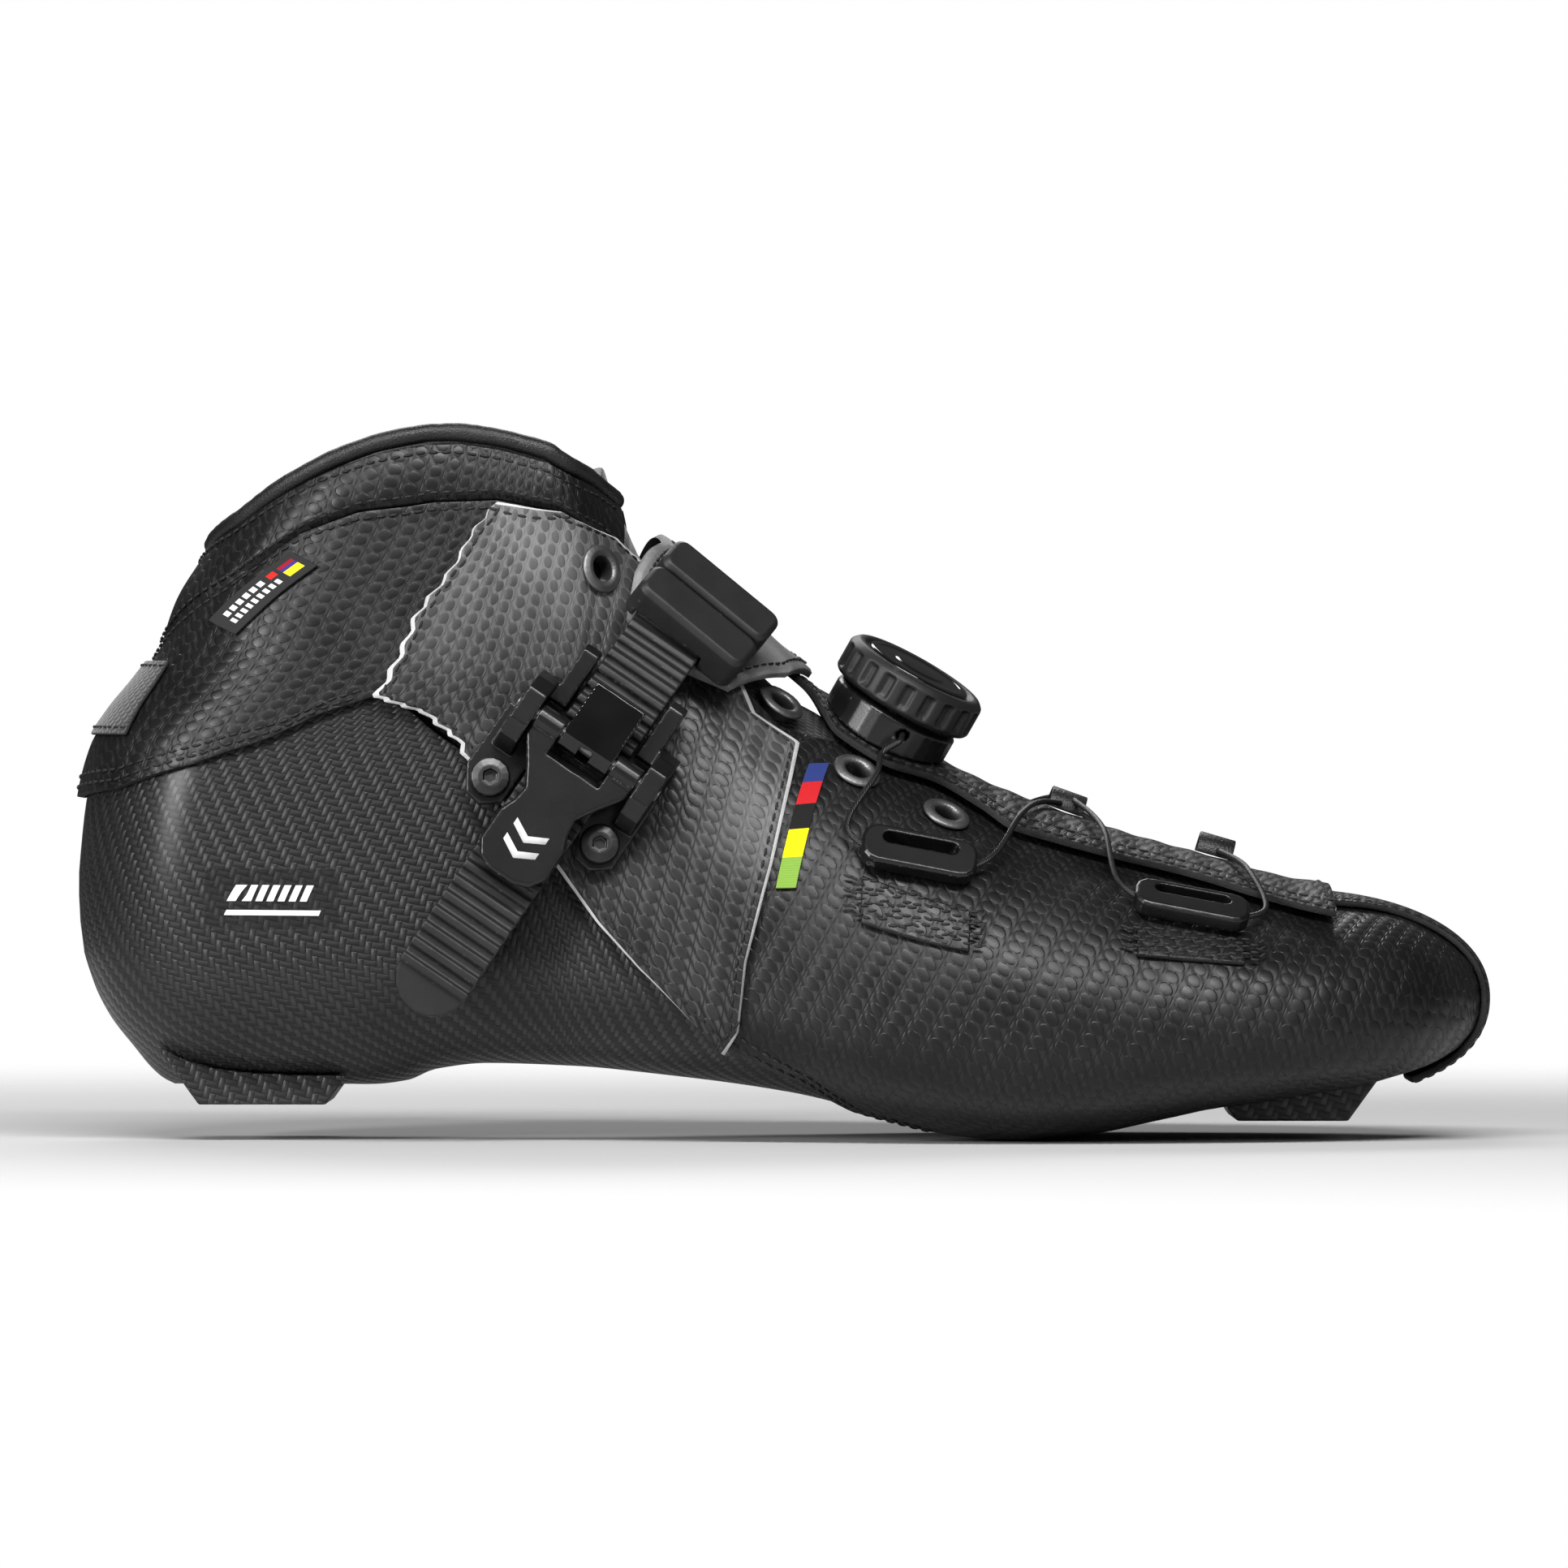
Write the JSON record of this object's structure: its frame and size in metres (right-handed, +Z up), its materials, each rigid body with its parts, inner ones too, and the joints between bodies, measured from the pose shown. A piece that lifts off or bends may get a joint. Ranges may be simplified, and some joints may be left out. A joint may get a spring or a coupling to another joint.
{
  "type": "speed skating boot",
  "caption": "Low-cut speed skating boot with a carbon cup, frame mounts, leather upper, wire-lace dial closure and a ratchet buckle ankle strap",
  "frame": {"origin": "bottom centre of the box, on the floor under the ball of the foot", "axes": "+X to the toe, +Z up, -Y to the lateral (outer) side of a right foot; the mount faces are level"},
  "size_m": [0.2698, 0.1, 0.135],
  "materials": {
    "carbon": "satin clear coat over woven carbon",
    "leather": "matt with an embossed woven pattern",
    "lining": "knitted, matt",
    "grey_leather": "matt",
    "plastic": "satin",
    "gloss": "glossy",
    "rubber": "matt",
    "steel": "satin",
    "alloy": "satin",
    "wire": "satin coating over a steel lace",
    "label": "woven",
    "clear": "clear film"
  },
  "bodies": {
    "root": {"carbon_shell": "carbon", "heel_mount_pad": "carbon", "toe_mount_pad": "carbon", "quarter_lateral": "leather", "quarter_medial": "leather", "vamp_lateral": "leather", "vamp_medial": "leather", "anchor_lateral": "leather", "anchor_medial": "leather", "lace_cover": "leather", "toe_strip": "leather", "collar_binding": "leather", "guide_tab_rear_lateral": "leather", "guide_tab_front_lateral": "leather", "guide_tab_rear_medial": "leather", "guide_tab_front_medial": "leather", "lace_loop_rear": "leather", "lace_loop_front": "leather", "liner": "lining", "insole": "lining", "collar": "lining", "tongue": "lining", "ankle_strap": "grey_leather", "achilles_patch": "grey_leather", "buckle_base": "plastic", "lace_guide_rear_lateral": "plastic", "lace_guide_front_lateral": "plastic", "lace_guide_rear_medial": "plastic", "lace_guide_front_medial": "plastic", "dial_base": "plastic", "heel_insert": "steel", "toe_insert": "steel", "buckle_pin": "steel", "buckle_screw_front": "steel", "buckle_screw_rear": "steel", "strap_screw": "steel", "eyelet_lateral_1": "steel", "eyelet_lateral_2": "steel", "eyelet_lateral_3": "steel", "eyelet_lateral_4": "steel", "eyelet_medial_1": "steel", "eyelet_medial_2": "steel", "eyelet_medial_3": "steel", "eyelet_medial_4": "steel", "lace": "wire", "side_tag": "label", "stripe_tag": "label", "heel_sticker": "clear"},
    "dial_drum": {"dial_spool": "plastic", "dial_screw": "steel"},
    "dial_grip": {"dial_knob": "rubber", "dial_cap": "gloss", "dial_pawl_ring": "alloy"},
    "lever": {"buckle_lever": "plastic", "drive_pawl": "alloy"},
    "pawl": {"release_pawl": "gloss"},
    "strap_end": {"ladder_strap": "plastic", "ladder_block": "rubber", "strap_clamp": "rubber"}
  },
  "joints": [
    {"name": "dial_turn", "type": "hinge", "parent": "root", "child": "dial_drum", "pos_m": [0.01914, -0.00756, 0.07739], "axis": [0.4871, -0.1732, 0.856], "continuous": true},
    {"name": "dial_pull", "type": "slide", "parent": "dial_drum", "child": "dial_grip", "axis": [0.4871, -0.1732, 0.856], "range_m": [0, 0.0015]},
    {"name": "lever_lift", "type": "hinge", "parent": "root", "child": "lever", "pos_m": [-0.03661, -0.04501, 0.0736], "axis": [-0.8284, 0.0325, 0.5592], "range_deg": [0, 70]},
    {"name": "pawl_release", "type": "hinge", "parent": "root", "child": "pawl", "pos_m": [-0.03661, -0.04501, 0.0736], "axis": [-0.8284, 0.0325, 0.5592], "range_deg": [0, 13], "stiffness_Nm_per_rad": 0.01},
    {"name": "strap_pull", "type": "slide", "parent": "root", "child": "strap_end", "axis": [-0.5584, -0.1267, -0.8198], "range_m": [-0.016, 0.001], "deforming": ["ankle_strap"]}
  ]
}
